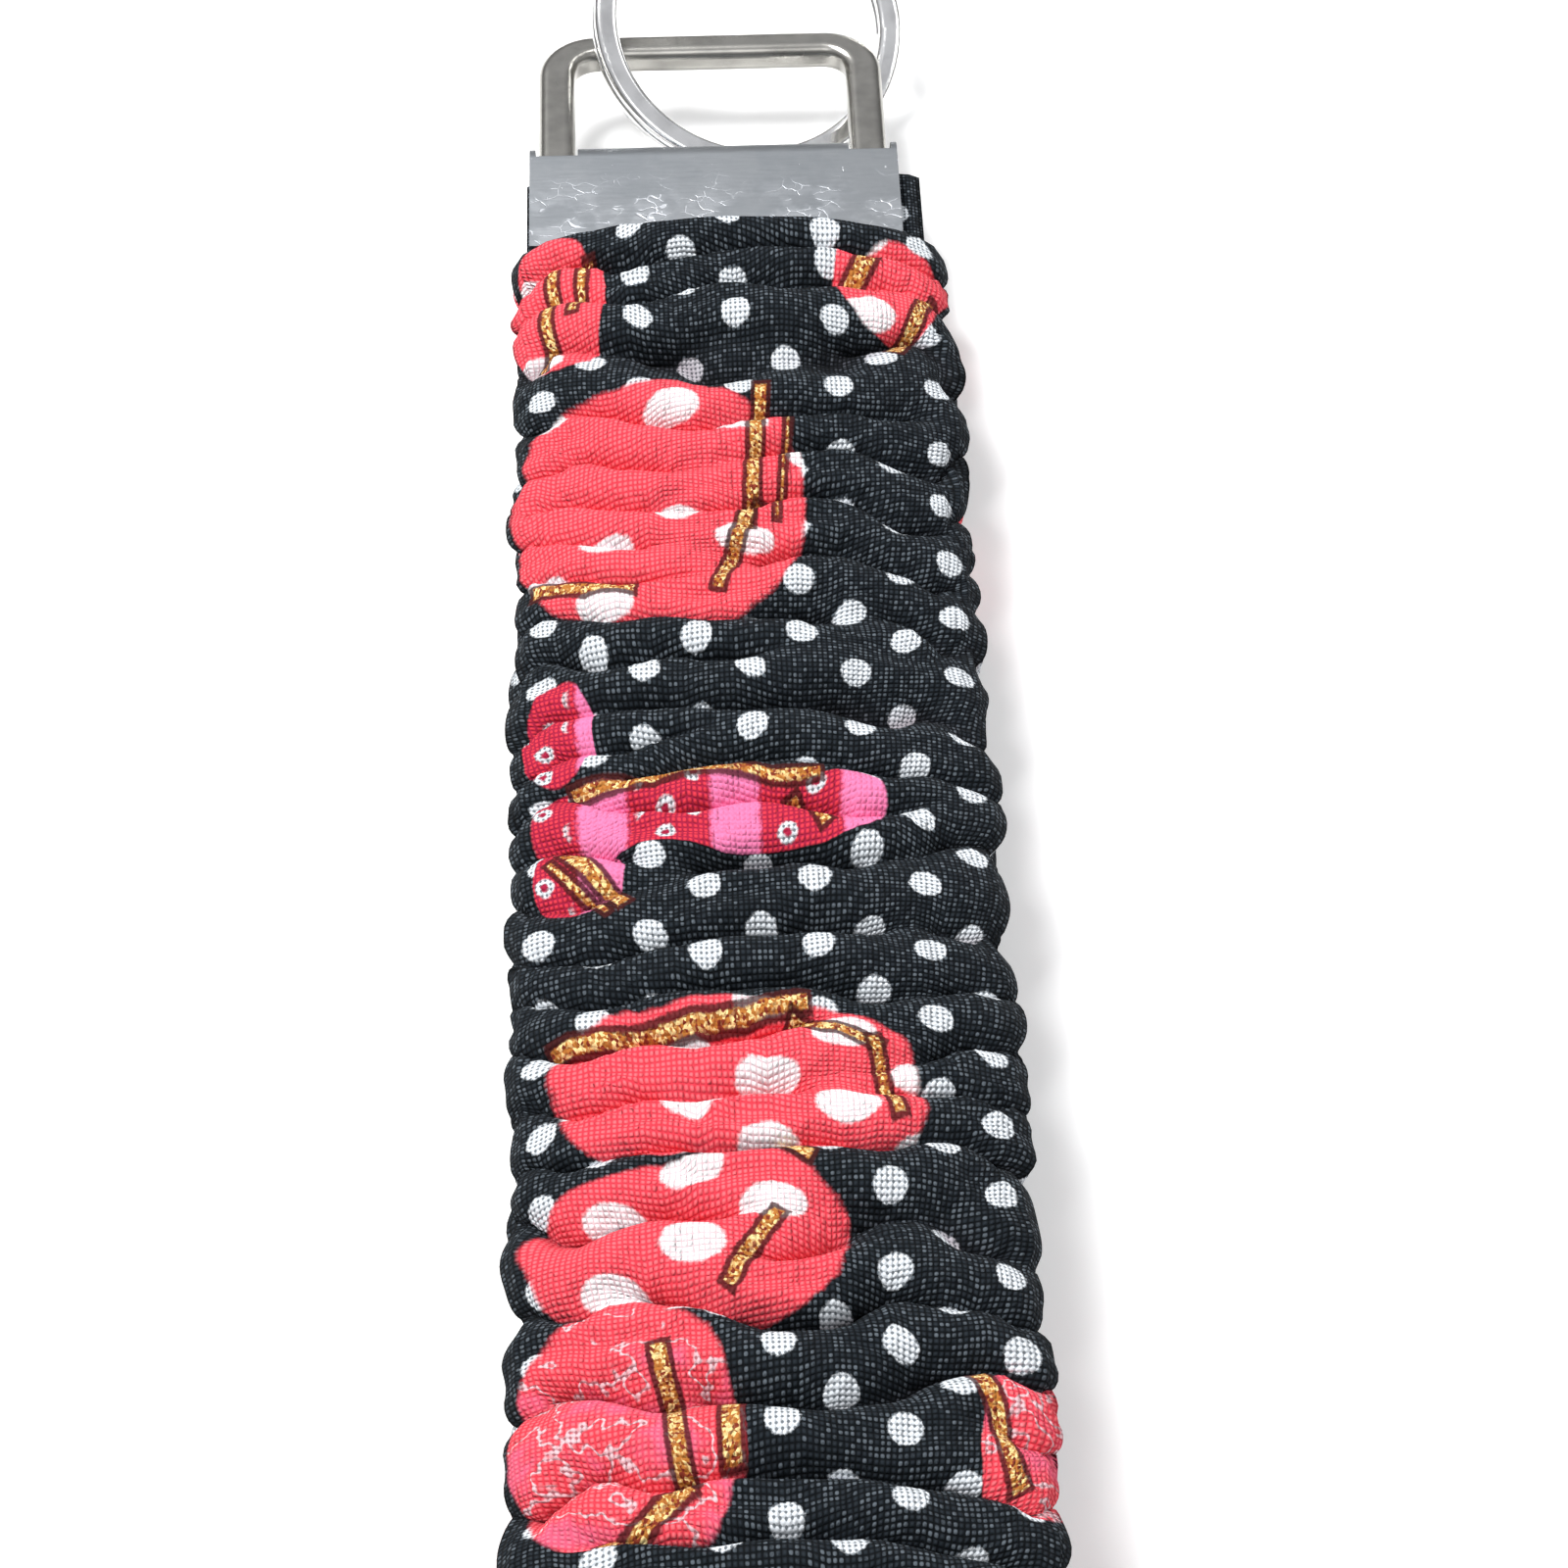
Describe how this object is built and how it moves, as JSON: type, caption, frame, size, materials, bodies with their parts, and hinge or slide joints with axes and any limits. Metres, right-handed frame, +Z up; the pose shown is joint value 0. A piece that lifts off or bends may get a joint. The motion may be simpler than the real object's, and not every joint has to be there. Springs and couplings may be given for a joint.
{
  "type": "wristlet keychain",
  "caption": "Ruched fabric wrist strap over elastic, folded in two and crimped in a metal clamp whose wire bail carries a split key ring.",
  "frame": {"origin": "on the table, under the middle of the strap's flat underside", "axes": "+X to the right across the strap, +Y along the strap towards the split ring, +Z up from the table"},
  "size_m": [0.0356, 0.1915, 0.0197],
  "materials": {
    "sleeve_cloth": "black printed cotton with white dots, ruched",
    "elastic": "knitted elastic",
    "thread": "polyester sewing thread",
    "clamp_steel": "satin nickel, scuffed",
    "bail_plating": "nickel plated",
    "ring_plating": "nickel plated"
  },
  "bodies": {
    "strap": {"fabric_sleeve": "sleeve_cloth", "elastic_band": "elastic", "seam_thread": "thread"},
    "clamp": {"clamp_shell": "clamp_steel", "sleeve_ends": "sleeve_cloth", "elastic_ends": "elastic", "end_stitching": "thread"},
    "bail": {"bail": "bail_plating"},
    "key_ring": {"split_ring": "ring_plating"}
  },
  "joints": [
    {"name": "strap_flex", "type": "hinge", "parent": "strap", "child": "clamp", "pos_m": [0, 0.075, 0.0064], "axis": [1, 0, 0], "range_deg": [-30, 30]},
    {"name": "bail_tilt", "type": "hinge", "parent": "clamp", "child": "bail", "pos_m": [0, 0.0861, 0.0064], "axis": [1, 0, 0], "range_deg": [-8, 8]},
    {"name": "ring_swing", "type": "hinge", "parent": "bail", "child": "key_ring", "pos_m": [0, 0.1023, 0.0064], "axis": [1, 0, 0], "range_deg": [0, 120]}
  ]
}
